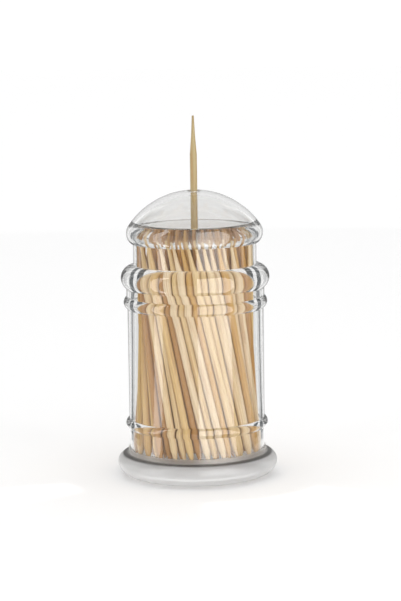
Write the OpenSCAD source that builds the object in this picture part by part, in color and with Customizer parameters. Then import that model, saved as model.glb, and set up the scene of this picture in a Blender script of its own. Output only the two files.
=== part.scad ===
// Toothpick holder: a clear round jar on a flared foot, with a domed cap that has a hole in the middle.
// The jar is full of round toothpicks that lean round in a twist, and one toothpick stands in the hole.
// The origin is the centre of the foot's underside, on the table. Lengths are in millimetres, +Z is up.
// The radii follow from the body of the jar, and the heights from the foot and the length of a toothpick.

/* [Jar] */
// Outer radius of the body of the jar, between its slim ring and its collar
body_r = 20.3; // [18:0.05:23]
// How much slimmer the jar is below its slim ring
low_step = 0.15; // [0.05:0.05:0.3]
// How much slimmer the neck is than the body
neck_step = 1.95; // [1.7:0.05:2.3]
// Rounding of the outer top edge of the neck
neck_round = 0.3; // [0.1:0.1:0.5]
// Wall of the jar at its open bottom end
low_wall = 0.85; // [0.7:0.05:1.1]
// Wall of the jar just under its collar
body_wall = 1.5; // [1.2:0.05:1.7]
// Wall of the neck
neck_wall = 0.65; // [0.6:0.05:1]
// How far the neck's top edge is above the top of an upright toothpick
headroom = 1.72; // [1:0.02:4]

/* [Slim ring] */
// How far the slim ring stands out from the body
slim_out = 0.95; // [0.6:0.05:1.7]
// Height of the middle of the slim ring above the foot's lip
slim_rise = 7.6; // [5:0.1:12]
// Radius of the slim ring's round section
slim_round = 1.65; // [1.2:0.05:2.5]

/* [Collar] */
// How far the lower collar ring stands out from the body
lower_ring_out = 1.1; // [0.7:0.05:1.7]
// Height of the upper collar ring's middle above the lower one's
ring_distance = 7.3; // [6.5:0.1:8]
// Radius of the lower collar ring's round section
lower_ring_round = 2.2; // [1.7:0.05:2.4]
// How far the bottom of the groove between the two collar rings stands out from the body
ring_groove_out = 0.3; // [0.05:0.05:0.6]
// How far the upper collar ring stands out from the body
upper_ring_out = 1.85; // [1.4:0.05:2.4]
// Distance from the neck's top edge down to the widest place of the upper collar ring
upper_ring_drop = 15.8; // [14:0.1:18]
// Radius of the upper collar ring's round section
upper_ring_round = 3.9; // [3.7:0.05:4.2]

/* [Foot] */
// How far the foot flares out past the lower end of the jar
foot_flare = 3.75; // [2.5:0.05:6]
// Height above the table where the foot is widest
foot_wide_z = 4; // [3:0.1:5]
// How far the foot's edge curves out from the ring that it stands on
foot_edge_w = 5.3; // [4:0.1:7]
// Width of the ring that the foot stands on
stand_w = 3.1; // [2:0.1:5]
// Depth of the shallow hollow under the foot
hollow_depth = 1.2; // [0.6:0.1:2]
// Height of the flange above the foot's widest place
flange_h = 2.9; // [2.2:0.1:4]
// Height of the lip that stands round the lower end of the jar, above the flange
lip_h = 1.3; // [0.8:0.1:2]
// Width of the lip along its top
lip_w = 0.5; // [0.3:0.1:0.8]
// Depth of the groove that holds the jar, below the lip's top
groove_depth = 1.6; // [1:0.1:2.5]
// How much higher than the bottom of that groove the floor is that the toothpicks stand on
floor_rise = 0.4; // [0.2:0.1:2]

/* [Cap] */
// Wall of the skirt at the widest place of the rim
skirt_wall = 1.85; // [1.6:0.05:2.3]
// Distance from the neck's top edge down to the widest place of the rim
rim_drop = 2.5; // [2:0.1:3.2]
// Radius of the rim's round section
rim_round = 3.95; // [3.4:0.05:4.5]
// Width of the flat lower edge of the rim
rim_flat_w = 0.4; // [0.2:0.05:0.6]
// How much larger the radius of the dome's sphere is than that of the rim
dome_flatness = 3.35; // [2.6:0.05:5]
// Wall of the dome
dome_wall = 1.5; // [1.2:0.05:1.8]

/* [Toothpicks] */
// Length of a toothpick
pick_len = 66.5; // [55:0.5:80]
// Radius of a toothpick
pick_r = 1.05; // [0.9:0.01:1.2]
// Radius of the blunt tip
tip_r = 0.3; // [0.15:0.05:0.35]
// Radius at the waist of the point, where its slender end flares out
point_waist_r = 0.6; // [0.45:0.05:0.7]
// Length of the slender end of the lower point
lower_slim_len = 1; // [0.5:0.5:3]
// Length of the whole lower point
lower_point_len = 3.5; // [3:0.5:9]
// Length of the slender end of the upper point
upper_slim_len = 6; // [4:0.5:8]
// Length of the whole upper point
upper_point_len = 11.5; // [10:0.5:14]
// How far the toothpick in the hole stands out above the dome
raised_rise = 21.9; // [18:0.1:26]
// Twist of the toothpicks from the floor to the height of the neck's top edge, in degrees
twist = 50; // [30:1:60]
// How much further in every second toothpick of the outer ring stands than its neighbours
stagger = 1.1; // [0:0.05:1.2]
// How far the ends of the outer toothpicks stray from even places
unevenness = 0.04; // [0:0.01:0.06]

/* [Fits] */
// Gap between the jar and the walls of the groove in the foot
jar_gap = 0.05; // [0.03:0.01:0.1]
// Gap between the neck and the skirt of the cap
skirt_gap = 0.15; // [0.1:0.01:0.25]
// Gap between a toothpick and the edge of the hole in the cap
hole_gap = 0.45; // [0.2:0.05:0.8]
// Gap between a toothpick and the wall beside it
pick_wall_gap = 0.2; // [0.1:0.01:0.5]
// Gap between two toothpicks of the outer ring, before they stray
outer_gap = 0.12; // [0.1:0.01:0.5]
// Gap between two toothpicks of the inner rings at their closest
inner_gap = 0.25; // [0.15:0.01:0.5]
// Height of a toothpick's tip above the floor
tip_gap = 0.08; // [0.06:0.01:0.2]

/* [Hidden] */
$fn = 96;
// Segments of a quarter of a round edge
edge_steps = 14;
// How far a cut runs past the surface that it opens
overrun = 1;
// Sides of a toothpick
pick_sides = 32;

// Heights of the foot, from the table up
flange_z = foot_wide_z + flange_h;
lip_z = flange_z + lip_h;
groove_z = lip_z - groove_depth;
floor_z = groove_z + floor_rise;

// Heights of the jar, which is made as tall as its toothpicks need
pick_start_z = floor_z + tip_gap;
neck_top_z = pick_start_z + pick_len + headroom;
slim_z = lip_z + slim_rise;
upper_ring_z = neck_top_z - upper_ring_drop;
lower_ring_z = upper_ring_z - ring_distance;

// Radii of the jar outside, and inside from the open bottom end up, so that its core draws out downwards
low_r = body_r - low_step;
neck_r = body_r - neck_step;
slim_r = body_r + slim_out;
lower_ring_r = body_r + lower_ring_out;
ring_groove_r = body_r + ring_groove_out;
upper_ring_r = body_r + upper_ring_out;
low_inner_r = low_r - low_wall;
body_inner_r = body_r - body_wall;
neck_inner_r = neck_r - neck_wall;

// Radii of the foot
foot_r = low_r + foot_flare;
foot_stand_r = foot_r - foot_edge_w;
hollow_r = foot_stand_r - stand_w;

// Dome and rim of the cap. The round edge of the rim is a circle in section that touches the dome's sphere
skirt_r = neck_r + skirt_gap;
rim_r = skirt_r + skirt_wall;
rim_z = neck_top_z - rim_drop;
rim_centre_r = rim_r - rim_round;
rim_low_r = skirt_r + rim_flat_w;
rim_low_angle = -acos((rim_low_r - rim_centre_r) / rim_round);
rim_low_z = rim_z + rim_round * sin(rim_low_angle);
dome_r = rim_r + dome_flatness;
rim_meet_angle = acos(rim_centre_r / (dome_r - rim_round));
dome_centre_z = rim_z - rim_centre_r * tan(rim_meet_angle);
dome_top_z = dome_centre_z + dome_r;
dome_inner_r = dome_r - dome_wall;
seat_angle = asin((neck_top_z - dome_centre_z) / dome_inner_r);
hole_r = pick_r + hole_gap;

// Places of the toothpicks. A toothpick stands at its ring's radius on the floor. Its axis crosses the height
// of the neck's top at that radius times the squeeze, turned by the twist, so straight lines make the twist
// and draw together to a waist at mid height.
lean_height = neck_top_z - pick_start_z;
outer_top_r = neck_inner_r - tip_r - pick_wall_gap;

// The outer ring is so wide on the floor that its toothpicks just clear the wall where their lower points end
point_end_share = lower_point_len / lean_height;
point_end_r = low_inner_r - pick_r - pick_wall_gap;
inward_run = point_end_share * outer_top_r * cos(twist);
sideways_run = point_end_share * outer_top_r * sin(twist);
outer_ring_r = (sqrt(pow(point_end_r, 2) - pow(sideways_run, 2)) - inward_run) / (1 - point_end_share);
squeeze_share = outer_top_r / outer_ring_r;
waist_share = norm([1 + squeeze_share * cos(twist), squeeze_share * sin(twist)]) / 2;
sideways_share = norm([1 - squeeze_share * cos(twist), squeeze_share * sin(twist)]);
outer_lean = atan2(outer_ring_r * sideways_share, lean_height);
// Keeps a whole number whole when it is rounded down
rounding_share = 0.001;

// The outer ring is full, with every second toothpick further in, so the count follows from its waist
waist_r = (outer_ring_r - stagger / 2) * waist_share;
outer_pitch = sqrt(pow(2 * pick_r + outer_gap, 2) - pow(stagger * waist_share, 2)) / cos(outer_lean);
outer_count = 2 * floor(how_many(outer_pitch, waist_r) / 2);
seed = 11;
stray_angle = asin(unevenness / outer_ring_r);
bottom_shifts = rands(-stray_angle, stray_angle, outer_count, seed);
top_shifts = rands(-stray_angle, stray_angle, outer_count, seed + 1);

// The rings inside it are as many as fit. The first one stands close round the raised toothpick
inner_pitch = (2 * pick_r + inner_gap) / waist_share;
inner_room = outer_ring_r - stagger - inner_pitch;
inner_rings = floor(inner_room / inner_pitch + rounding_share);
ring_step = inner_room / inner_rings;

// A two-digit number for the names of the outer toothpicks
function two_digits(i) = str(floor(i / 10), i % 10);
function outer_name(i) = str("toothpick_", two_digits(i));
function inner_name(k) = str("inner_toothpicks_", k);

// Points on a circle or an ellipse in the section plane, from one angle to another
function arc(centre, rr, rz, from, to) = [
    for (s = [0 : edge_steps])
        let (a = from + (to - from) * s / edge_steps)
        centre + [rr * cos(a), rz * sin(a)]
];

// The round outside of a ring on the jar, from the wall's radius below it to the one above it
function ring_arc(ring_r, ring_z, round, below_r, above_r) =
    let (centre_r = ring_r - round)
    arc(
        [centre_r, ring_z], round, round,
        -acos((below_r - centre_r) / round), acos((above_r - centre_r) / round)
    );

// How many toothpicks stand round a ring of a radius, that far apart
function how_many(pitch, r) = floor(180 / asin(pitch / (2 * r)) + rounding_share);

// A point at a radius and an angle about the Z axis, at a height
function on_ring(r, a, z) = [r * cos(a), r * sin(a), z];

// The two points that the axis of a toothpick runs through
function pick_axis(r, bottom_angle, top_angle) = [
    on_ring(r, bottom_angle, pick_start_z),
    on_ring(r * squeeze_share, top_angle, pick_start_z + lean_height)
];

function outer_axis(i) =
    let (middle = 360 * i / outer_count)
    pick_axis(
        outer_ring_r - stagger * (i % 2),
        middle + twist / 2 + bottom_shifts[i],
        middle - twist / 2 + top_shifts[i]
    );

// The toothpicks of inner ring k, counted from the middle
function inner_r(k) = inner_pitch + (k - 1) * ring_step;
function inner_count(k) = how_many(inner_pitch, inner_r(k));
function inner_axis(k, i) =
    let (bottom = 360 * (i + k / inner_rings) / inner_count(k))
    pick_axis(inner_r(k), bottom, bottom - twist);

// A toothpick that stands on its lower tip. Its upper point is longer than its lower one
module pick() {
    rotate_extrude($fn = pick_sides)
        polygon([
            [0, 0],
            [tip_r, 0],
            [point_waist_r, lower_slim_len],
            [pick_r, lower_point_len],
            [pick_r, pick_len - upper_point_len],
            [point_waist_r, pick_len - upper_slim_len],
            [tip_r, pick_len],
            [0, pick_len]
        ]);
}

// A toothpick along an axis, standing with its lower tip at the axis's first point
module leaning_pick(axis) {
    run = axis[1] - axis[0];
    translate(axis[0])
        rotate([0, acos(run[2] / norm(run)), atan2(run[1], run[0])])
            pick();
}

module jar() {
    color([0.9, 0.93, 0.94, 0.35])
        rotate_extrude()
            polygon(concat(
                [[low_inner_r, groove_z], [low_r, groove_z]],
                ring_arc(slim_r, slim_z, slim_round, low_r, body_r),
                ring_arc(lower_ring_r, lower_ring_z, lower_ring_round, body_r, ring_groove_r),
                ring_arc(upper_ring_r, upper_ring_z, upper_ring_round, ring_groove_r, neck_r),
                arc([neck_r - neck_round, neck_top_z - neck_round], neck_round, neck_round, 0, 90),
                [
                    [neck_inner_r, neck_top_z],
                    [neck_inner_r, upper_ring_z],
                    [body_inner_r, lower_ring_z - lower_ring_round]
                ]
            ));
}

module foot() {
    jar_outer_wall_r = low_r + jar_gap;
    floor_r = low_inner_r - jar_gap;
    lip_r = jar_outer_wall_r + lip_w;
    color([0.9, 0.9, 0.9, 0.6])
        rotate_extrude()
            polygon(concat(
                [[0, hollow_depth], [hollow_r - hollow_depth, hollow_depth], [hollow_r, 0]],
                arc([foot_stand_r, foot_wide_z], foot_edge_w, foot_wide_z, -90, 0),
                arc([lip_r, foot_wide_z], foot_r - lip_r, flange_h, 0, 90),
                [
                    [lip_r, lip_z],
                    [jar_outer_wall_r, lip_z],
                    [jar_outer_wall_r, groove_z],
                    [floor_r, groove_z],
                    [floor_r, floor_z],
                    [0, floor_z]
                ]
            ));
}

module dome_cap() {
    color([0.9, 0.93, 0.94, 0.35])
        difference() {
            rotate_extrude()
                polygon(concat(
                    [[skirt_r, rim_low_z]],
                    arc([rim_centre_r, rim_z], rim_round, rim_round, rim_low_angle, rim_meet_angle),
                    arc([0, dome_centre_z], dome_r, dome_r, rim_meet_angle, 90),
                    arc([0, dome_centre_z], dome_inner_r, dome_inner_r, 90, seat_angle),
                    [[skirt_r, neck_top_z]]
                ));
            translate([0, 0, dome_top_z - dome_wall - overrun])
                cylinder(r = hole_r, h = dome_wall + 2 * overrun);
        }
}

module raised_toothpick() {
    color([0.8, 0.7, 0.5])
        translate([0, 0, dome_top_z + raised_rise - pick_len])
            pick();
}

module outer_toothpick(i) {
    color([0.92, 0.8, 0.62])
        leaning_pick(outer_axis(i - 1));
}

module inner_toothpicks(k) {
    color([0.85, 0.7, 0.5])
        for (i = [0 : inner_count(k) - 1])
            leaning_pick(inner_axis(k, i));
}

dome_cap();
jar();
foot();
raised_toothpick();
for (i = [1 : outer_count])
    outer_toothpick(i);
for (k = [1 : inner_rings])
    inner_toothpicks(k);
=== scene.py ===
# %% [markdown]
# A clear, shaker-shaped toothpick holder, full of wooden toothpicks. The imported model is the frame: it says
# where every piece is and what moves. Everything below dresses that frame, in metres, and moves none of it.
# The clear pieces are made again as turned shapes with many steps, because light bends at their surfaces
# and would show every flat facet of a coarser mesh.

# %% Load the frame
import math
import random

import bmesh
import bpy
import numpy as np
from mathutils import Matrix, Vector


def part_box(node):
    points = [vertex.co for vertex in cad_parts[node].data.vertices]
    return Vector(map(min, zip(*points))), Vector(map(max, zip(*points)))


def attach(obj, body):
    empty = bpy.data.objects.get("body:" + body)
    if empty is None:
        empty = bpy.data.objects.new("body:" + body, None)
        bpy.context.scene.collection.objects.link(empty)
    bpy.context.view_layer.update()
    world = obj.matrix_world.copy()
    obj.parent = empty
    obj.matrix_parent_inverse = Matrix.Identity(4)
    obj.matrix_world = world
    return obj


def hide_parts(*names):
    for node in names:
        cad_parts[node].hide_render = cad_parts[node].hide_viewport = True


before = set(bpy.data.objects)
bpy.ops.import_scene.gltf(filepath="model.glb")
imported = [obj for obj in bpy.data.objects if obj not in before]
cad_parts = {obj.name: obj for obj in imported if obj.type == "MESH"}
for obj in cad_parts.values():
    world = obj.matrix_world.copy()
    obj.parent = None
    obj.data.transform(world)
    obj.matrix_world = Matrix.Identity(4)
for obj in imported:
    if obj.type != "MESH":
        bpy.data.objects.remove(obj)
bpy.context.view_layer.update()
MM = 0.001

# %% [markdown]
# The camera stands where the photographer's stood: about 0.63 m in front of the holder, and looking down
# about 8 degrees. It could be placed by eye, but its place was worked out from how round the rings look at
# each height, which is more certain. A slight roll gives about the lean that the holder has in the picture.

# %% Camera
CAMERA_DISTANCE = 633.6 * MM
CAMERA_HEIGHT = 140.6 * MM
CAMERA_PITCH = math.radians(7.935)
CAMERA_YAW = math.radians(0.1375)
CAMERA_ROLL = math.radians(0.8)
FOCAL_PIXELS = 2143.4
PICTURE_HEIGHT = 601


def camera_matrix():
    """Where the camera is and how it is turned, from its pitch, yaw and roll."""
    level = Vector((math.sin(CAMERA_YAW), math.cos(CAMERA_YAW), 0))
    right = Vector((math.cos(CAMERA_YAW), -math.sin(CAMERA_YAW), 0))
    above = Vector((0, 0, 1))
    forward = level * math.cos(CAMERA_PITCH) - above * math.sin(CAMERA_PITCH)
    up = level * math.sin(CAMERA_PITCH) + above * math.cos(CAMERA_PITCH)
    rolled_right = right * math.cos(CAMERA_ROLL) - up * math.sin(CAMERA_ROLL)
    rolled_up = right * math.sin(CAMERA_ROLL) + up * math.cos(CAMERA_ROLL)
    turned = Matrix((rolled_right, rolled_up, -forward)).transposed().to_4x4()
    return Matrix.Translation((0, -CAMERA_DISTANCE, CAMERA_HEIGHT)) @ turned


camera_data = bpy.data.cameras.new("camera")
camera_data.lens = FOCAL_PIXELS * camera_data.sensor_width / PICTURE_HEIGHT
camera = bpy.data.objects.new("camera", camera_data)
camera.matrix_world = camera_matrix()
bpy.context.scene.collection.objects.link(camera)
bpy.context.scene.camera = camera
print("camera lens, mm:", round(camera_data.lens, 1))

# %% [markdown]
# The picture was taken on white, so the holder stands on a pale floor in even white light. Light that has
# to go through many clear walls needs many bounces, or the plastic would end in black. Wood needs only few.

# %% Floor and sky
FLOOR_SIZE = 8.0
FLOOR_DROP = 0.05 * MM
FLOOR_COLOUR = (0.97, 0.97, 0.97)
WHITE = (1, 1, 1)
SKY_STRENGTH = 1.03
STAGE_ROUGHNESS = 0.9
CLEAR_BOUNCES = 32
MIRROR_BOUNCES = 16
WOOD_BOUNCES = 3


def plain_material(name, colour):
    """A one-colour material for the stage."""
    material = bpy.data.materials.new(name)
    material.use_nodes = True
    shader = material.node_tree.nodes["Principled BSDF"]
    shader.inputs["Base Color"].default_value = (*colour, 1)
    shader.inputs["Roughness"].default_value = STAGE_ROUGHNESS
    return material


def link_mesh(name, bm):
    """Makes an object of a bmesh, at the origin."""
    mesh = bpy.data.meshes.new(name)
    bm.to_mesh(mesh)
    bm.free()
    thing = bpy.data.objects.new(name, mesh)
    bpy.context.scene.collection.objects.link(thing)
    return thing


def make_floor():
    bm = bmesh.new()
    bmesh.ops.create_grid(bm, x_segments=1, y_segments=1, size=FLOOR_SIZE / 2)
    bmesh.ops.translate(bm, vec=(0, 0, -FLOOR_DROP), verts=bm.verts)
    floor = link_mesh("floor", bm)
    floor.data.materials.append(plain_material("pale_floor", FLOOR_COLOUR))


def light_sky():
    world = bpy.data.worlds.new("white_sky")
    world.use_nodes = True
    sky = world.node_tree.nodes["Background"]
    sky.inputs["Color"].default_value = (*WHITE, 1)
    sky.inputs["Strength"].default_value = SKY_STRENGTH
    bpy.context.scene.world = world


make_floor()
light_sky()
bpy.context.scene.view_settings.view_transform = "Standard"
cycles = bpy.context.scene.cycles
cycles.max_bounces = CLEAR_BOUNCES
cycles.transmission_bounces = CLEAR_BOUNCES
cycles.glossy_bounces = MIRROR_BOUNCES
cycles.diffuse_bounces = WOOD_BOUNCES
print("sky strength:", SKY_STRENGTH)

# %% [markdown]
# Clear plastic has almost no colour of its own. What the eye reads as its edge is what its curves bend or
# mirror into view. So cards stand round the holder, out of the camera's own sight. Dark ones beside and
# behind it give the streaks at the ends of the rings, and paler ones in front do the same for someone who
# looks from behind. A grey one at the back, which only reflections show, gives dome and walls their soft
# outline, and two bright soft boxes give the pale reflections on the jar. Each is a sweep that runs out
# along the floor and then up, so that light meets it at every height.

# %% Sweeps: dark cards and soft boxes
SWEEP_STEPS = 12
FRONT_SWEEPS = ((36, 50), (61, 77))
REAR_SWEEPS = ((103, 119), (130, 144))
BACK_SWEEP = (150, 210)
DARK_SWEEP_SIZE = (0.07, 0.7, 0.9)
DARK_SWEEP_LIFT = 0.5 * MM
BRIGHT_SWEEPS = ((3, 60), (-72, -56))
BRIGHT_SWEEP_SIZE = (0.04, 0.5, 0.9)
BRIGHT_SWEEP_LIFT = 1 * MM
SOFT_BOX_STRENGTH = 5
DARK_CARD_COLOUR = (0.1, 0.11, 0.115)
BACK_CARD_COLOUR = (0.3, 0.3, 0.3)
FRONT_CARD_COLOUR = (0.42, 0.43, 0.44)


def put_on_stage(thing, material, seen_through_plastic, mirrored=True):
    """Sets up a card that shows only in reflections, or only through the plastic, or in both."""
    thing.data.materials.append(material)
    thing.visible_camera = False
    thing.visible_diffuse = False
    thing.visible_shadow = False
    thing.visible_transmission = seen_through_plastic
    thing.visible_glossy = mirrored


def make_sweep(name, angles, size, lift, material, seen_through_plastic, mirrored=True):
    """A card from its near to its far radius and then up, between two angles right of the camera."""
    near, far, height = size
    first, last = [math.radians(angle) for angle in angles]
    bm = bmesh.new()
    verts = [bm.verts.new((0, -r, z)) for r, z in ((near, lift), (far, lift), (far, height))]
    edges = [bm.edges.new(pair) for pair in zip(verts, verts[1:])]
    bmesh.ops.rotate(bm, verts=verts, matrix=Matrix.Rotation(first, 3, "Z"))
    bmesh.ops.spin(
        bm, geom=verts + edges, cent=(0, 0, 0), axis=(0, 0, 1), angle=last - first, steps=SWEEP_STEPS,
    )
    put_on_stage(link_mesh(name, bm), material, seen_through_plastic, mirrored)


def soft_box_material():
    material = plain_material("soft_box", DARK_CARD_COLOUR)
    shader = material.node_tree.nodes["Principled BSDF"]
    shader.inputs["Emission Color"].default_value = (*WHITE, 1)
    shader.inputs["Emission Strength"].default_value = SOFT_BOX_STRENGTH
    return material


def make_side_sweeps(sweeps, material, mirrored):
    """Stands each sweep right of the camera, and its mirror image left of it."""
    for near_angle, far_angle in sweeps:
        for angles in ((near_angle, far_angle), (-far_angle, -near_angle)):
            name = f"sweep_{angles[0]}"
            make_sweep(name, angles, DARK_SWEEP_SIZE, DARK_SWEEP_LIFT, material, True, mirrored)


dark_card = plain_material("dark_card", DARK_CARD_COLOUR)
back_card = plain_material("back_card", BACK_CARD_COLOUR)
front_card = plain_material("front_card", FRONT_CARD_COLOUR)
soft_box = soft_box_material()
make_side_sweeps(FRONT_SWEEPS, front_card, False)
make_side_sweeps(REAR_SWEEPS, dark_card, True)
make_sweep("back_sweep", BACK_SWEEP, DARK_SWEEP_SIZE, DARK_SWEEP_LIFT, back_card, False)
for number, angles in enumerate(BRIGHT_SWEEPS):
    make_sweep(f"soft_box_{number}", angles, BRIGHT_SWEEP_SIZE, BRIGHT_SWEEP_LIFT, soft_box, False)
print("sweeps on each side:", len(FRONT_SWEEPS + REAR_SWEEPS), "soft boxes:", len(BRIGHT_SWEEPS))

# %% [markdown]
# A white room would be mirrored all over the front of the jar and hide the wood behind a haze. Three large
# dark cards before the holder, over it and on the floor take that haze away, and only reflections show
# them. A wide soft panel beside the camera lights the wood, and the plastic doesn't mirror it.

# %% Large cards and the soft panel
LARGE_CARD_SIZE = 2.2
LARGE_CARD_DISTANCE = 1.6
TOP_CARD_HEIGHT = 0.75
LOW_CARD_LIFT = 1 * MM
PANEL_PLACE = Vector((0.6, -1.2, 0.55))
PANEL_SIZE = (1.6, 1.2)
PANEL_RADIANCE = 0.5


def make_large_card(name, height, place):
    bm = bmesh.new()
    bmesh.ops.create_grid(bm, x_segments=1, y_segments=1, size=0.5)
    bmesh.ops.scale(bm, vec=(LARGE_CARD_SIZE, height, 1), verts=bm.verts)
    bmesh.ops.transform(bm, matrix=place, verts=bm.verts)
    put_on_stage(link_mesh(name, bm), dark_card, False)


def make_large_cards():
    size = LARGE_CARD_SIZE
    upright = Matrix.Rotation(math.radians(90), 4, "X")
    near_y = size / 4 - LARGE_CARD_DISTANCE
    make_large_card("before_card", size, Matrix.Translation((0, -LARGE_CARD_DISTANCE, size / 2)) @ upright)
    make_large_card("top_card", size, Matrix.Translation((0, -size / 4, TOP_CARD_HEIGHT)))
    make_large_card("low_card", size / 2, Matrix.Translation((0, near_y, LOW_CARD_LIFT)))


def make_panel():
    """A soft light that the clear pieces don't mirror."""
    data = bpy.data.lights.new("soft_panel", "AREA")
    data.shape = "RECTANGLE"
    data.size, data.size_y = PANEL_SIZE
    data.energy = PANEL_RADIANCE * math.pi * data.size * data.size_y
    panel = bpy.data.objects.new("soft_panel", data)
    panel.location = PANEL_PLACE
    panel.rotation_euler = PANEL_PLACE.to_track_quat("Z", "Y").to_euler()
    panel.visible_glossy = False
    bpy.context.scene.collection.objects.link(panel)
    return panel


make_large_cards()
print("soft panel, watts:", round(make_panel().data.energy, 2))

# %% [markdown]
# Cap, jar and foot are round about one axis, as if turned on a lathe. Each starts as an outline, one half
# of the section, and is spun round the axis. Moulded plastic has no sharp corners, so the outline's corners
# are rounded first. A short straight stretch is kept on each side of a rounded corner, because the shading
# of a smooth surface blends from point to point, and clear plastic would show that blend as a dark band.

# %% Helpers for turned pieces
SPIN_STEPS = 160
ARC_STEPS = 20
CORNER_ANGLE = math.radians(28)
CORNER_STEPS = 4
GUARD_SHARE = 1.6
SEAM_DISTANCE = 0.002 * MM


def arc(centre_r, centre_z, width, height, start, end):
    """Points on part of an ellipse in the section, between two angles in degrees."""
    angles = [math.radians(start + (end - start) * step / ARC_STEPS) for step in range(ARC_STEPS + 1)]
    return [(centre_r + width * math.cos(a), centre_z + height * math.sin(a)) for a in angles]


def round_corners(outline, size):
    """Rounds every sharp corner of a closed outline that isn't on the axis."""
    points = [Vector(point) for point in outline]
    rounded = []
    for before, corner, after in zip(points[-1:] + points, points, points[1:] + points[:1]):
        back, ahead = before - corner, after - corner
        if corner.x == 0 or back.angle(-ahead) < CORNER_ANGLE:
            rounded.append(corner)
            continue
        cut = min(size, back.length / (2 * GUARD_SHARE), ahead.length / (2 * GUARD_SHARE))
        start, end = corner + back.normalized() * cut, corner + ahead.normalized() * cut
        rounded.append(corner + back.normalized() * cut * GUARD_SHARE)
        for step in range(CORNER_STEPS + 1):
            share = step / CORNER_STEPS
            rounded.append(start.lerp(corner, share).lerp(corner.lerp(end, share), share))
        rounded.append(corner + ahead.normalized() * cut * GUARD_SHARE)
    return rounded


def turned(name, outline, corner):
    """Spins a closed outline of (radius, height) points, in millimetres, round the Z axis."""
    bm = bmesh.new()
    verts = [bm.verts.new((r * MM, 0, z * MM)) for r, z in round_corners(outline, corner)]
    edges = [bm.edges.new((a, b)) for a, b in zip(verts, verts[1:] + verts[:1])]
    bmesh.ops.spin(
        bm, geom=verts + edges, cent=(0, 0, 0), axis=(0, 0, 1),
        angle=math.tau, steps=SPIN_STEPS, use_merge=True,
    )
    bmesh.ops.remove_doubles(bm, verts=bm.verts, dist=SEAM_DISTANCE)
    bmesh.ops.recalc_face_normals(bm, faces=bm.faces)
    for face in bm.faces:
        face.smooth = True
    piece = link_mesh(name, bm)
    print(name, "faces:", len(piece.data.polygons), "size, mm:", [round(v / MM, 1) for v in piece.dimensions])
    return piece


def widest(node):
    """The outer radius of a round CAD node, in millimetres."""
    low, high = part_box(node)
    return (high[0] - low[0]) / 2 / MM


def lowest(node):
    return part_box(node)[0][2] / MM


def highest(node):
    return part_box(node)[1][2] / MM


# %% [markdown]
# The jar is the tube that holds the toothpicks. Its inside is plain and a little wider at the bottom, so
# that the steel core could be drawn out, and its outside has two collar rings and a slim ring of solid
# plastic. Those solid rings work as lenses, so the toothpicks behind them seem to bend. A texture can't do
# that, but the true shape does.

# %% Jar
JAR_LOW_R, JAR_BODY_R, JAR_NECK_R = 20.15, 20.3, 18.35
JAR_LOW_WALL, JAR_BODY_WALL, JAR_NECK_WALL = 0.85, 1.5, 0.65
NECK_ROUND = 0.3
SLIM_R, SLIM_Z, SLIM_ROUND = 21.25, 15.8, 1.65
LOWER_RING_R, LOWER_RING_Z, LOWER_RING_ROUND = 21.4, 52.2, 2.2
UPPER_RING_Z, UPPER_RING_ROUND = 59.5, 3.9
RING_GROOVE_R = 20.6
JAR_CORNER = 0.3


def ring_arc(ring_r, ring_z, rounding, below_r, above_r):
    """The round outside of a ring, from the wall's radius below it to the one above it."""
    centre_r = ring_r - rounding
    start = -math.degrees(math.acos((below_r - centre_r) / rounding))
    end = math.degrees(math.acos((above_r - centre_r) / rounding))
    return arc(centre_r, ring_z, rounding, rounding, start, end)


def jar_outline():
    bottom, top = lowest("jar"), highest("jar")
    return [
        (JAR_LOW_R - JAR_LOW_WALL, bottom),
        (JAR_LOW_R, bottom),
        *ring_arc(SLIM_R, SLIM_Z, SLIM_ROUND, JAR_LOW_R, JAR_BODY_R),
        *ring_arc(LOWER_RING_R, LOWER_RING_Z, LOWER_RING_ROUND, JAR_BODY_R, RING_GROOVE_R),
        *ring_arc(widest("jar"), UPPER_RING_Z, UPPER_RING_ROUND, RING_GROOVE_R, JAR_NECK_R),
        *arc(JAR_NECK_R - NECK_ROUND, top - NECK_ROUND, NECK_ROUND, NECK_ROUND, 0, 90),
        (JAR_NECK_R - JAR_NECK_WALL, top),
        (JAR_NECK_R - JAR_NECK_WALL, UPPER_RING_Z),
        (JAR_BODY_R - JAR_BODY_WALL, LOWER_RING_Z - LOWER_RING_ROUND),
    ]


jar = turned("clear_jar", jar_outline(), JAR_CORNER)
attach(jar, "holder")
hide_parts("jar")

# %% [markdown]
# The cap is a dome that ends in a thick round rim. The rim's round edge and the dome are two circles that
# touch, so no step shows where they meet. Under it a skirt slides over the neck, and the hole in the middle
# lets one toothpick out. It could be cut with a boolean, but a hole on the axis is only where the outline
# stops.

# %% Cap
DOME_R = 23.7
DOME_WALL = 1.5
RIM_Z = 72.8
RIM_FLAT_W = 0.4
SKIRT_GAP = 0.15
SEAT_GAP = 0.04
HOLE_R = 1.5
CAP_CORNER = 0.35


def cap_outline():
    rim_r = widest("dome_cap")
    dome_z = highest("dome_cap") - DOME_R
    rise = RIM_Z - dome_z
    rim_round = (DOME_R**2 - rim_r**2 - rise**2) / (2 * (DOME_R - rim_r))
    rim_middle_r = rim_r - rim_round
    skirt_r = JAR_NECK_R + SKIRT_GAP
    meet = math.degrees(math.atan2(rise, rim_middle_r))
    low = -math.degrees(math.acos((skirt_r + RIM_FLAT_W - rim_middle_r) / rim_round))
    inner_r = DOME_R - DOME_WALL
    seat_z = highest("jar") + SEAT_GAP
    return [
        (skirt_r, RIM_Z + rim_round * math.sin(math.radians(low))),
        *arc(rim_middle_r, RIM_Z, rim_round, rim_round, low, meet),
        *arc(0, dome_z, DOME_R, DOME_R, meet, math.degrees(math.acos(HOLE_R / DOME_R)))[1:],
        *arc(
            0, dome_z, inner_r, inner_r,
            math.degrees(math.acos(HOLE_R / inner_r)), math.degrees(math.asin((seat_z - dome_z) / inner_r)),
        ),
        (skirt_r, seat_z),
    ]


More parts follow.
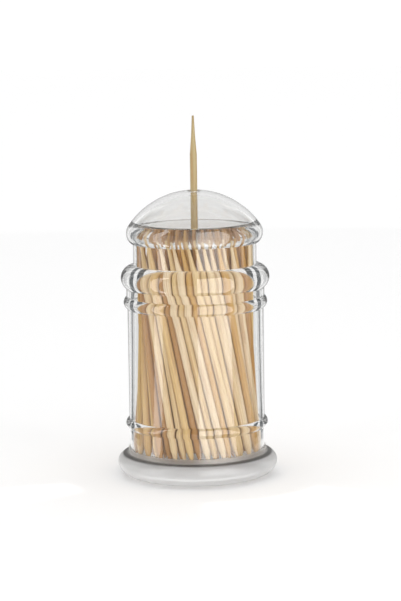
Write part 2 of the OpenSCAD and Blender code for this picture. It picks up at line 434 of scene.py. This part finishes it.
cap = turned("clear_dome_cap", cap_outline(), CAP_CORNER)
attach(cap, "cap")
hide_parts("dome_cap")

# %% [markdown]
# The foot is a thick disc that flares out under the jar. The jar's open end stands in a groove in it, and
# the raised middle is the floor for the toothpicks. Underneath it is slightly hollow, as such mouldings
# are, so that it stands on a ring and doesn't rock.

# %% Foot
FOOT_STAND_R, FOOT_WIDE_Z = 18.6, 4.0
HOLLOW_R, HOLLOW_DEPTH = 15.5, 1.2
FLANGE_Z = 6.9
LIP_W = 0.5
FLOOR_RISE = 0.4
GROOVE_GAP = 0.05
FOOT_CORNER = 0.12


def foot_outline():
    outer_wall_r = JAR_LOW_R + GROOVE_GAP
    floor_r = JAR_LOW_R - JAR_LOW_WALL - GROOVE_GAP
    groove_z = lowest("jar") - SEAT_GAP
    floor_z = lowest("jar") + FLOOR_RISE
    lip_z = highest("foot")
    foot_r = widest("foot")
    lip_r = outer_wall_r + LIP_W
    return [
        (0, HOLLOW_DEPTH),
        (HOLLOW_R - HOLLOW_DEPTH, HOLLOW_DEPTH),
        (HOLLOW_R, 0),
        *arc(FOOT_STAND_R, FOOT_WIDE_Z, foot_r - FOOT_STAND_R, FOOT_WIDE_Z, -90, 0),
        *arc(lip_r, FOOT_WIDE_Z, foot_r - lip_r, FLANGE_Z - FOOT_WIDE_Z, 0, 90)[1:],
        (lip_r, lip_z),
        (outer_wall_r, lip_z),
        (outer_wall_r, groove_z),
        (floor_r, groove_z),
        (floor_r, floor_z),
        (0, floor_z),
    ]


foot = turned("clear_foot", foot_outline(), FOOT_CORNER)
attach(foot, "holder")
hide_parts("foot")

# %% [markdown]
# Clear plastic lets light through and bends it. Principled with full transmission does both. A faint
# waviness is what moulded plastic has and polished glass hasn't. A little of the grey comes from how far
# light goes in it. The rest is a faint tint of its surface, which keeps thin walls from ending in black
# lines. The clear pieces cast no shadow, so that light reaches the wood as through a real thin wall.

# %% Clear plastic
CLEAR_IOR = 1.5
CLEAR_ROUGHNESS = 0
CLEAR_COLOUR = (0.92, 0.92, 0.915)
CLEAR_TINT = (0.57, 0.56, 0.54)
CLEAR_DENSITY = 15
WAVE_SCALE = 60
WAVE_DETAIL = 1
WAVE_HEIGHT = 0.012 * MM


def clear_plastic(name, tint, density, roughness):
    material = bpy.data.materials.new(name)
    material.use_nodes = True
    nodes, links = material.node_tree.nodes, material.node_tree.links
    shader = nodes["Principled BSDF"]
    shader.inputs["Base Color"].default_value = (*CLEAR_COLOUR, 1)
    shader.inputs["Roughness"].default_value = roughness
    shader.inputs["IOR"].default_value = CLEAR_IOR
    shader.inputs["Transmission Weight"].default_value = 1
    place = nodes.new("ShaderNodeTexCoord")
    waves = nodes.new("ShaderNodeTexNoise")
    waves.inputs["Scale"].default_value = WAVE_SCALE
    waves.inputs["Detail"].default_value = WAVE_DETAIL
    bump = nodes.new("ShaderNodeBump")
    bump.inputs["Distance"].default_value = WAVE_HEIGHT
    links.new(place.outputs["Object"], waves.inputs["Vector"])
    links.new(waves.outputs["Fac"], bump.inputs["Height"])
    links.new(bump.outputs["Normal"], shader.inputs["Normal"])
    inside = nodes.new("ShaderNodeVolumeAbsorption")
    inside.inputs["Color"].default_value = (*tint, 1)
    inside.inputs["Density"].default_value = density
    links.new(inside.outputs["Volume"], nodes["Material Output"].inputs["Volume"])
    return material


clear = clear_plastic("clear_plastic", CLEAR_TINT, CLEAR_DENSITY, CLEAR_ROUGHNESS)
for piece in (jar, cap):
    piece.data.materials.append(clear)
    piece.visible_shadow = False
    piece.visible_diffuse = False
print("clear plastic, index of refraction:", CLEAR_IOR)

# %% [markdown]
# The foot has a satin face, so it looks paler than the jar. A dark ring of painted shade runs round it under
# the lip, where the lip shades the flange, and the lip is milky. Both follow the height alone, so a colour
# ramp over the height draws them. They could be painted as a texture, but then their edges would need many
# pixels.

# %% Foot plastic
FOOT_TINT = (0.8, 0.79, 0.77)
FOOT_DENSITY = 6
FOOT_ROUGHNESS = 0.3
# Painted shade: the dark ring on the flange just under the lip, where the lip shades it.
LIP_PAINTED_SHADE_COLOUR = (0.04, 0.037, 0.034)
MILKY_COLOUR = (0.8, 0.76, 0.72)
FOOT_COLOURS = (
    (0, WHITE),
    (6.2, WHITE),
    (6.55, LIP_PAINTED_SHADE_COLOUR),
    (6.85, LIP_PAINTED_SHADE_COLOUR),
    (6.95, MILKY_COLOUR),
    (8.2, MILKY_COLOUR),
)


def set_stops(ramp, colours):
    """Gives a colour ramp its stops, from pairs of a position and a colour."""
    stops = ramp.color_ramp.elements
    for position, colour in colours[1:-1]:
        stops.new(position)
    for stop, (position, colour) in zip(stops, colours):
        stop.position = position
        stop.color = (*colour, 1)


def foot_plastic():
    """Satin plastic that is coloured by height, in millimetres, with a ring of painted shade under the lip.
    """
    material = clear_plastic("foot_plastic", FOOT_TINT, FOOT_DENSITY, FOOT_ROUGHNESS)
    nodes, links = material.node_tree.nodes, material.node_tree.links
    parts = nodes.new("ShaderNodeSeparateXYZ")
    rise = nodes.new("ShaderNodeMapRange")
    top = FOOT_COLOURS[-1][0]
    rise.inputs["From Max"].default_value = top * MM
    ramp = nodes.new("ShaderNodeValToRGB")
    set_stops(ramp, [(z / top, colour) for z, colour in FOOT_COLOURS])
    links.new(nodes["Texture Coordinate"].outputs["Object"], parts.inputs["Vector"])
    links.new(parts.outputs["Z"], rise.inputs["Value"])
    links.new(rise.outputs["Result"], ramp.inputs["Fac"])
    links.new(ramp.outputs["Color"], nodes["Principled BSDF"].inputs["Base Color"])
    return material


foot.data.materials.append(foot_plastic())
foot.visible_shadow = False
print("foot colours:", len(FOOT_COLOURS))

# %% [markdown]
# The toothpicks stand where the frame's own solids stand. Each of those solids is a slim round stick, so
# the line through its middle is the direction in which its points spread out most, and its ends are the
# furthest points along that line. One shaped toothpick is then copied onto each such line.

# %% Where each toothpick stands
MERGE_DISTANCE = 0.001 * MM


def separate_sticks(node):
    """The vertices of each separate solid in a CAD node, as lists of points."""
    bm = bmesh.new()
    bm.from_mesh(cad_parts[node].data)
    bmesh.ops.remove_doubles(bm, verts=bm.verts, dist=MERGE_DISTANCE)
    met = set()
    sticks = []
    for start in bm.verts:
        if start in met:
            continue
        met.add(start)
        stick = [start]
        for vert in stick:
            near = [edge.other_vert(vert) for edge in vert.link_edges]
            fresh = [other for other in near if other not in met]
            met.update(fresh)
            stick.extend(fresh)
        sticks.append([tuple(vert.co) for vert in stick])
    bm.free()
    return sticks


def stick_ends(points):
    """The lower and the upper end of the line through the middle of a stick."""
    points = np.array(points)
    middle = points.mean(axis=0)
    direction = np.linalg.svd(points - middle)[2][0]
    direction = direction if direction[2] > 0 else -direction
    along = (points - middle) @ direction
    return Vector(middle + direction * along.min()), Vector(middle + direction * along.max())


def toothpick_nodes(start):
    return sorted(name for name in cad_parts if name.startswith(start))


first_ends = stick_ends(separate_sticks("toothpick_01")[0])
print("first toothpick, mm:", [[round(v / MM, 2) for v in end] for end in first_ends])

# %% [markdown]
# A toothpick is turned from birch: a straight stick with a point at each end, cut off blunt at its tip. It
# could be put together from cones and a cylinder, but one spun outline has no seams between them. A UV map
# follows the stick, so that the grain runs along it whichever way it leans.

# %% Toothpick shape
PICK_R = 1.05
TIP_R = 0.3
WAIST_R = 0.6
LOWER_SLIM_LEN, LOWER_POINT_LEN = 1.0, 3.5
UPPER_SLIM_LEN, UPPER_POINT_LEN = 6.0, 11.5
PICK_SIDES = 14


def pick_outline(length):
    """One half of a toothpick's section in millimetres. The point halfway keeps the shading even."""
    return [
        (0, 0),
        (TIP_R, 0),
        (WAIST_R, LOWER_SLIM_LEN),
        (PICK_R, LOWER_POINT_LEN),
        (PICK_R, length / 2),
        (PICK_R, length - UPPER_POINT_LEN),
        (WAIST_R, length - UPPER_SLIM_LEN),
        (TIP_R, length),
        (0, length),
    ]


def pick_mesh(length):
    """A toothpick that stands on the origin, with a UV map that runs round it and along it."""
    outline = pick_outline(length)
    bm = bmesh.new()
    verts = [bm.verts.new((r * MM, 0, z * MM)) for r, z in outline]
    edges = [bm.edges.new((a, b)) for a, b in zip(verts, verts[1:])]
    bmesh.ops.spin(
        bm, geom=verts + edges, cent=(0, 0, 0), axis=(0, 0, 1),
        angle=math.tau, steps=PICK_SIDES, use_merge=True,
    )
    bmesh.ops.remove_doubles(bm, verts=bm.verts, dist=MERGE_DISTANCE)
    bmesh.ops.recalc_face_normals(bm, faces=bm.faces)
    uv = bm.loops.layers.uv.new("along")
    for face in bm.faces:
        middle = face.calc_center_median()
        side = math.atan2(middle.y, middle.x)
        for loop in face.loops:
            turn = math.atan2(loop.vert.co.y, loop.vert.co.x)
            turn += math.tau * round((side - turn) / math.tau)
            loop[uv].uv = (turn / math.tau, loop.vert.co.z / (length * MM))
        face.smooth = True
    mesh = bpy.data.meshes.new("pick_shape")
    bm.to_mesh(mesh)
    bm.free()
    return mesh


first_length = (first_ends[1] - first_ends[0]).length / MM
print("first toothpick's outline, mm:", [(r, round(z, 2)) for r, z in pick_outline(first_length)])

# %% [markdown]
# Bare birch is pale, between cream, straw and a pinkish white, with fine streaks along the grain. The tone
# picks the colour of a whole toothpick, and a noise that is stretched along the UV map draws the streaks.
# The ramp's lowest, darkest browns are used only by the toothpicks behind the outer ring, as painted shade.

# %% Toothpick wood
WOOD_ROUGHNESS = 0.55
WOOD_SHEEN = 0.25
GRAIN_SCALE, GRAIN_DETAIL = 3, 3
GRAIN_STRETCH = (10, 1.6, 1)
GRAIN_DEPTH = 0.05 * MM
STREAK_START, STREAK_END, STREAK_STRENGTH = 0.48, 0.7, 0.8
WOOD_COLOURS = (
    (0.0, (0.43, 0.34, 0.17)),
    (0.15, (0.26, 0.11, 0.02)),
    (0.35, (0.44, 0.22, 0.05)),
    (0.55, (0.60, 0.36, 0.105)),
    (0.8, (0.70, 0.50, 0.22)),
    (1.0, (0.75, 0.60, 0.40)),
)
STREAK_COLOUR = (0.42, 0.2, 0.06)


def toothpick_wood():
    material = bpy.data.materials.new("toothpick_wood")
    material.use_nodes = True
    nodes, links = material.node_tree.nodes, material.node_tree.links
    shader = nodes["Principled BSDF"]
    shader.inputs["Roughness"].default_value = WOOD_ROUGHNESS
    shader.inputs["Specular IOR Level"].default_value = WOOD_SHEEN
    tone = nodes.new("ShaderNodeAttribute")
    tone.attribute_name = "tone"
    ramp = nodes.new("ShaderNodeValToRGB")
    set_stops(ramp, WOOD_COLOURS)
    along = nodes.new("ShaderNodeUVMap")
    along.uv_map = "along"
    apart = nodes.new("ShaderNodeVectorMath")
    apart.operation = "ADD"
    stretch = nodes.new("ShaderNodeMapping")
    stretch.inputs["Scale"].default_value = GRAIN_STRETCH
    grain = nodes.new("ShaderNodeTexNoise")
    grain.inputs["Scale"].default_value = GRAIN_SCALE
    grain.inputs["Detail"].default_value = GRAIN_DETAIL
    streaks = nodes.new("ShaderNodeMapRange")
    streaks.inputs["From Min"].default_value = STREAK_START
    streaks.inputs["From Max"].default_value = STREAK_END
    streaks.inputs["To Max"].default_value = STREAK_STRENGTH
    mix = nodes.new("ShaderNodeMix")
    mix.data_type = "RGBA"
    mix.inputs["B"].default_value = (*STREAK_COLOUR, 1)
    bump = nodes.new("ShaderNodeBump")
    bump.inputs["Distance"].default_value = GRAIN_DEPTH
    links.new(tone.outputs["Fac"], ramp.inputs["Fac"])
    links.new(along.outputs["UV"], stretch.inputs["Vector"])
    links.new(stretch.outputs["Vector"], apart.inputs[0])
    links.new(ramp.outputs["Color"], apart.inputs[1])
    links.new(apart.outputs["Vector"], grain.inputs["Vector"])
    links.new(grain.outputs["Fac"], streaks.inputs["Value"])
    links.new(streaks.outputs["Result"], mix.inputs["Factor"])
    links.new(ramp.outputs["Color"], mix.inputs["A"])
    links.new(mix.outputs["Result"], shader.inputs["Base Color"])
    links.new(grain.outputs["Fac"], bump.inputs["Height"])
    links.new(bump.outputs["Normal"], shader.inputs["Normal"])
    return material


wood = toothpick_wood()
print("wood colours:", len(WOOD_COLOURS))

# %% [markdown]
# The toothpicks of the outer ring are pieces of their own, because they show through the wall. Those behind
# them are one piece for each ring. One even colour would look like a printed pattern, so each toothpick is
# turned about and gets its tone by chance, and keeps the tone as an attribute. The toothpicks behind the
# outer ring get only darker tones, which are painted shade in the gaps between the outer ones. The chance has
# a fixed seed, so every run gives the same toothpicks.

# %% Toothpicks in the jar and in the hole
TONE_SEED = 5
OUTER_TONES = (0.3, 1.0)
# Painted shade: the toothpicks behind the outer ring get only darker tones, for the dark gaps between the
# outer ones.
INNER_TONES_AS_PAINTED_SHADE = (0.22, 0.5)
RAISED_TONES = (0, 0)
tones = random.Random(TONE_SEED)


def make_toothpicks(node, body, tone_range):
    """One object that holds a shaped toothpick for every stick of a CAD node."""
    bm = bmesh.new()
    tone = bm.verts.layers.float.new("tone")
    for points in separate_sticks(node):
        low_end, high_end = stick_ends(points)
        run = high_end - low_end
        shape = pick_mesh(run.length / MM)
        first = len(bm.verts)
        bm.from_mesh(shape)
        bpy.data.meshes.remove(shape)
        bm.verts.ensure_lookup_table()
        fresh = bm.verts[first:]
        turned_about = Matrix.Rotation(tones.uniform(0, math.tau), 4, "Z")
        lean = run.to_track_quat("Z", "Y").to_matrix().to_4x4()
        bmesh.ops.transform(bm, matrix=Matrix.Translation(low_end) @ lean @ turned_about, verts=fresh)
        own_tone = tones.uniform(*tone_range)
        for vert in fresh:
            vert[tone] = own_tone
    thing = link_mesh("shaped_" + node, bm)
    thing.data.materials.append(wood)
    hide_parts(node)
    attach(thing, body)


outer_nodes = toothpick_nodes("toothpick_")
inner_nodes = toothpick_nodes("inner_toothpicks_")
for node in outer_nodes:
    make_toothpicks(node, "holder", OUTER_TONES)
for node in inner_nodes:
    make_toothpicks(node, "holder", INNER_TONES_AS_PAINTED_SHADE)
make_toothpicks("raised_toothpick", "drawn_toothpick", RAISED_TONES)
print("toothpick nodes, outer, inner and raised:", len(outer_nodes), len(inner_nodes), 1)
